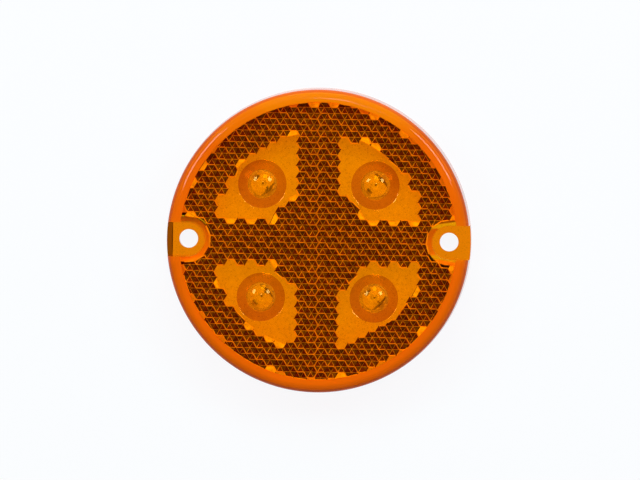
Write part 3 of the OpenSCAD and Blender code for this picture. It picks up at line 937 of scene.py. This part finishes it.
def dress(node, materials, zone):
    """A merged copy of a CAD node with soft edges and its finishes, in the node's place."""
    source = frame["nodes"][node]
    low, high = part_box(node)
    bm = bmesh.new()
    bm.from_mesh(source.data)
    bmesh.ops.transform(bm, matrix=source.matrix_world, verts=bm.verts)
    bmesh.ops.remove_doubles(bm, verts=bm.verts, dist=MERGE)
    bmesh.ops.dissolve_limit(bm, angle_limit=math.radians(1), verts=bm.verts, edges=bm.edges)
    bmesh.ops.recalc_face_normals(bm, faces=bm.faces)
    for face in bm.faces:
        face.material_index = zone(face.calc_center_bounds(), face.normal, low, high)
    obj = to_object(f"{node}_finish", bm, materials)
    edges = obj.modifiers.new("Edges", "BEVEL")
    edges.limit_method = "ANGLE"
    edges.angle_limit = math.radians(30)
    edges.width = EDGE_SOFT
    edges.segments = 2
    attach(obj, "root")
    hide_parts(node)


def build_solder(materials):
    """Hollow-sided cones of solder round the LED leads behind the board."""
    low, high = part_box("solder_joints")
    reach = SOLDER_R - SOLDER_TIP_R
    stretch = (high.z - low.z) / reach
    side = arc((SOLDER_R, 0), reach, math.pi, math.pi / 2, steps=8)
    outline = [(0, low.z)] + [(r, low.z + z * stretch) for r, z in side] + [(0, high.z)]
    joints = bmesh.new()
    for number in range(1, 5):
        for way in (-1, 1):
            place = led_place(number) @ Vector((way * LEAD_PITCH / 2, 0, 0))
            joint = revolved(outline, 32, (place.x, place.y))
            mesh = bpy.data.meshes.new("joint")
            joint.to_mesh(mesh)
            joint.free()
            joints.from_mesh(mesh)
            bpy.data.meshes.remove(mesh)
    obj = to_object("solder_finish", joints, materials)
    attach(obj, "root")
    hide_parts("solder_joints")


def inner_finishes(colours):
    """The finishes of each slot: the body's first, then that of its ends or edges.

    The mask's texture, the layers of the laminate, mould grain and glaze are too fine to show in a
    render, so they are drawn two to three times as coarse as they are.
    """
    # Soft white with a satin drift
    mask = speckled("White solder mask", "DEDBD0", colours.board, 1.0 * MM, 0.35, bump=0.01 * MM)
    # Straw-coloured layers along the cut
    laminate = layered("Glass fibre laminate edge", "B8AE82", "CCC498", 0.5 * MM, 0.6)
    # Even matt grain that breaks up the shine
    abs_cover = speckled("Black ABS spark eroded", "141416", colours.cover, 0.25 * MM, 0.5, bump=0.02 * MM)
    # Bright, lightly brushed by its rollers
    tin = speckled("Tinned brass", "B8B7B2", "D6D5D0", 0.3 * MM, 0.3, metallic=1.0)
    # Rippled as it froze, a little duller than the tin
    solder = speckled("Tin solder", "A9A8A2", "C9C8C2", 0.4 * MM, 0.35, bump=0.01 * MM, metallic=1.0)
    # Glossy black glass
    resistor = speckled("Glazed resistor chip", "101010", "1C1C1C", 0.3 * MM, 0.3)
    # Dull charcoal grain
    package = speckled("Moulded epoxy package", "161616", "242424", 0.15 * MM, 0.6, bump=0.006 * MM)
    # Dry tan, finely pored
    ceramic = speckled("Fired ceramic", "8A6A4A", "A07C58", 0.2 * MM, 0.5, bump=0.004 * MM)
    # Soft black without shine
    rubber = speckled("Black rubber moulded", "121213", "1C1C1D", 0.4 * MM, 0.7, bump=0.01 * MM)
    return {
        "board_white": [mask, laminate],
        "cover_black": [abs_cover],
        "tinned_metal": [tin],
        "solder": [solder],
        "chip_black": [resistor, tin],
        "package_black": [package, tin],
        "capacitor_tan": [ceramic, tin],
        "grommet_rubber": [rubber],
    }


# ------------------------------ stage

# Name, turn round the lamp from its right and tilt off its axis in degrees, width and height in
# metres, share of the full power, and whether gloss and glass mirror it
SOFTBOXES = (
    ("softbox_left", 147, 42, (0.32, 0.24), 0.5, True),
    ("softbox_right", 36, 40, (0.30, 0.24), 0.5, True),
    ("softbox_front", 92, 34, (0.6, 0.6), 1.0, False),
    ("softbox_top", 92, 78, (0.4, 0.06), 0.05, True),
    ("softbox_small", 84, 11, (0.09, 0.09), 0.05, True),
    ("softbox_low", 270, 55, (0.9, 0.5), 0.3, False),
)
BRIGHT_WALL = (0.62, 0.78, 0)  # direction of the studio's brightest wall
FLOOR_DROP = 0.2 * MM  # keeps the floor clear of the lamp's back


def build_camera(studio):
    """A long lens straight over the lamp, leaning and turned a little."""
    lean = Vector((studio.lean_x, studio.lean_y, 1)).normalized()
    target = Vector((studio.aim_x, studio.aim_y, 0.6 * LAMP_H))
    right = Vector((0, 1, 0)).cross(lean).normalized()
    turn = Matrix((right, lean.cross(right), lean)).transposed().to_4x4()
    data = bpy.data.cameras.new("camera")
    data.lens = studio.lens_mm
    data.clip_start = 0.01
    data.clip_end = 10
    camera = bpy.data.objects.new("camera", data)
    place = Matrix.Translation(target + lean * studio.distance)
    camera.matrix_world = place @ turn @ Matrix.Rotation(studio.roll, 4, "Z")
    bpy.context.scene.collection.objects.link(camera)
    bpy.context.scene.camera = camera


def build_softbox(studio, name, turn, tilt, size, share, mirrored):
    """A rectangular lamp that faces the lens from its place in the list of softboxes."""
    data = bpy.data.lights.new(name, "AREA")
    data.shape = "RECTANGLE"
    data.size, data.size_y = size
    data.energy = share * studio.box_power
    turn, tilt = math.radians(turn), math.radians(tilt)
    way = Vector((math.sin(tilt) * math.cos(turn), math.sin(tilt) * math.sin(turn), math.cos(tilt)))
    across = Vector((-math.sin(turn), math.cos(turn), 0))
    facing = Matrix((across, way.cross(across), way)).transposed().to_4x4()
    box = bpy.data.objects.new(name, data)
    box.visible_glossy = mirrored
    box.matrix_world = Matrix.Translation(Vector((0, 0, LAMP_H)) + way * studio.box_distance) @ facing
    bpy.context.scene.collection.objects.link(box)


def floor_board():
    """Matt white board: keeps the soft shadow, shows pale to the eye and through clear parts."""
    material, tree = new_material("White matt board")
    tone = clouded(tree, 40 * MM, 2.0, "F4F6F8", "F8FAFC", spread=0.3)[1]
    matt = add_node(tree, "ShaderNodeBsdfPrincipled", {"Roughness": 0.9}, {"Base Color": tone})
    shown = add_node(tree, "ShaderNodeEmission", {"Color": colour("FBFDFF"), "Strength": 1.0})
    path = add_node(tree, "ShaderNodeLightPath")
    seen = path.outputs["Is Camera Ray"]
    for other in ("Is Glossy Ray", "Is Transmission Ray"):
        links = {0: seen, 1: path.outputs[other]}
        seen = add_node(tree, "ShaderNodeMath", links=links, operation="MAXIMUM").outputs[0]
    # The rest, 7%, stays with the matt board and keeps the shadow
    share = add_node(tree, "ShaderNodeMath", {1: 0.93}, {0: seen}, operation="MULTIPLY")
    links = {0: share.outputs[0], 1: matt.outputs[0], 2: shown.outputs[0]}
    return finish_material(material, add_node(tree, "ShaderNodeMixShader", links=links).outputs[0])


def build_floor():
    """A wide board just under the lamp."""
    bm = bmesh.new()
    place = Matrix.Translation((0, 0, -FLOOR_DROP))
    bmesh.ops.create_grid(bm, x_segments=1, y_segments=1, size=3.0, matrix=place)
    to_object("floor", bm, [floor_board()])


def build_world(studio):
    """Dim walls, one side brighter, and a darker ceiling, so that a flat front keeps its colour."""
    world = bpy.data.worlds.new("studio")
    bpy.context.scene.world = world
    world.use_nodes = True
    tree = world.node_tree
    tree.nodes.clear()
    place = add_node(tree, "ShaderNodeTexCoord")
    axes = add_node(tree, "ShaderNodeSeparateXYZ", links={"Vector": place.outputs["Generated"]})
    ceiling = add_node(
        tree,
        "ShaderNodeMapRange",
        {"From Min": 0.3, "From Max": 0.7, "To Min": studio.fill, "To Max": 0.08 * studio.fill},
        {"Value": axes.outputs["Z"]},
    )
    links = {0: place.outputs["Generated"]}
    toward = add_node(tree, "ShaderNodeVectorMath", {1: BRIGHT_WALL}, links, operation="DOT_PRODUCT")
    side = add_node(
        tree,
        "ShaderNodeMapRange",
        {"From Min": -0.6, "From Max": 0.6, "To Min": 0.25, "To Max": 1.1},
        {"Value": toward.outputs["Value"]},
    )
    links = {0: ceiling.outputs["Result"], 1: side.outputs["Result"]}
    strength = add_node(tree, "ShaderNodeMath", links=links, operation="MULTIPLY")
    links = {"Strength": strength.outputs[0]}
    fill = add_node(tree, "ShaderNodeBackground", {"Color": colour("FAFCFF")}, links)
    add_node(tree, "ShaderNodeOutputWorld", links={"Surface": fill.outputs[0]})


# ------------------------------ operators


class LAMP_OT_stage(bpy.types.Operator):
    """Makes the camera, the soft studio lamps, the world and the pale floor"""

    bl_idname = "lamp.stage"
    bl_label = "Stage"

    def execute(self, context):
        studio = context.scene.lamp_studio
        build_camera(studio)
        build_floor()
        build_world(studio)
        for row in SOFTBOXES:
            build_softbox(studio, *row)
        return {"FINISHED"}


class LAMP_OT_lens_shell(bpy.types.Operator):
    """Builds the amber lens with its skirt, windows, optics and screw ears"""

    bl_idname = "lamp.lens_shell"
    bl_label = "Lens shell"

    def execute(self, context):
        scene = context.scene
        steps = scene.lamp_studio.turn_steps
        build_lens_shell(scene.lamp_sizes, scene.lamp_prisms, scene.lamp_optics, scene.lamp_colours, steps)
        return {"FINISHED"}


class LAMP_OT_prisms(bpy.types.Operator):
    """Builds the field of hexagonal reflex prisms"""

    bl_idname = "lamp.prisms"
    bl_label = "Reflex prisms"

    def execute(self, context):
        scene = context.scene
        build_prisms(scene.lamp_sizes, scene.lamp_prisms, scene.lamp_optics, scene.lamp_colours)
        return {"FINISHED"}


class LAMP_OT_leds(bpy.types.Operator):
    """Builds the LEDs with their lead frames"""

    bl_idname = "lamp.leds"
    bl_label = "LEDs"

    def execute(self, context):
        epoxy, frame_metals, die_finish = led_finishes()
        for number in range(1, 5):
            build_led(number, context.scene.lamp_leds, epoxy, frame_metals, die_finish)
        return {"FINISHED"}


class LAMP_OT_inner_parts(bpy.types.Operator):
    """Dresses the board, the components, the cover and the grommet"""

    bl_idname = "lamp.inner_parts"
    bl_label = "Inner parts"

    def execute(self, context):
        finishes = inner_finishes(context.scene.lamp_colours)
        zones = {
            "circuit_board": board_zone,
            "current_regulator": leg_zone,
            "polarity_diode": lead_zone,
            "surge_suppressor": lead_zone,
        }
        for row in frame["record"]["subparts"]:
            node, slot = row["node"], row["material_slot"]
            if node.startswith("led_leads"):
                for place in frame["nodes"][node].material_slots:
                    place.material = finishes[slot][0]
            elif node == "solder_joints":
                build_solder(finishes[slot])
            elif slot not in ("led_epoxy", "lens_amber"):
                zone = chip_zone if slot in ("chip_black", "capacitor_tan") else zones.get(node, plain_zone)
                dress(node, finishes[slot], zone)
        return {"FINISHED"}


class LAMP_PT_panel(bpy.types.Panel):
    """Lists the lamp's pieces"""

    bl_idname = "LAMP_PT_panel"
    bl_label = "Marker Lamp"
    bl_space_type = "VIEW_3D"
    bl_region_type = "UI"
    bl_category = "Marker Lamp"

    def draw(self, context):
        for operator in OPERATORS:
            self.layout.operator(operator.bl_idname)


GROUPS = {
    "lamp_sizes": LampSizes,
    "lamp_prisms": PrismSizes,
    "lamp_optics": OpticSizes,
    "lamp_leds": LedSizes,
    "lamp_studio": StudioSizes,
    "lamp_colours": LampColours,
}
OPERATORS = (LAMP_OT_stage, LAMP_OT_lens_shell, LAMP_OT_prisms, LAMP_OT_leds, LAMP_OT_inner_parts)


def register():
    for group in GROUPS.values():
        bpy.utils.register_class(group)
    for name, group in GROUPS.items():
        setattr(bpy.types.Scene, name, PointerProperty(type=group))
    for operator in OPERATORS:
        bpy.utils.register_class(operator)
    bpy.utils.register_class(LAMP_PT_panel)


def unregister():
    bpy.utils.unregister_class(LAMP_PT_panel)
    for operator in reversed(OPERATORS):
        bpy.utils.unregister_class(operator)
    for name in GROUPS:
        delattr(bpy.types.Scene, name)
    for group in reversed(list(GROUPS.values())):
        bpy.utils.unregister_class(group)


def main():
    register()
    bpy.context.scene.view_settings.view_transform = "Standard"
    bpy.ops.lamp.stage()
    bpy.ops.lamp.lens_shell()
    bpy.ops.lamp.prisms()
    bpy.ops.lamp.leds()
    bpy.ops.lamp.inner_parts()


if __name__ == "__main__":
    main()
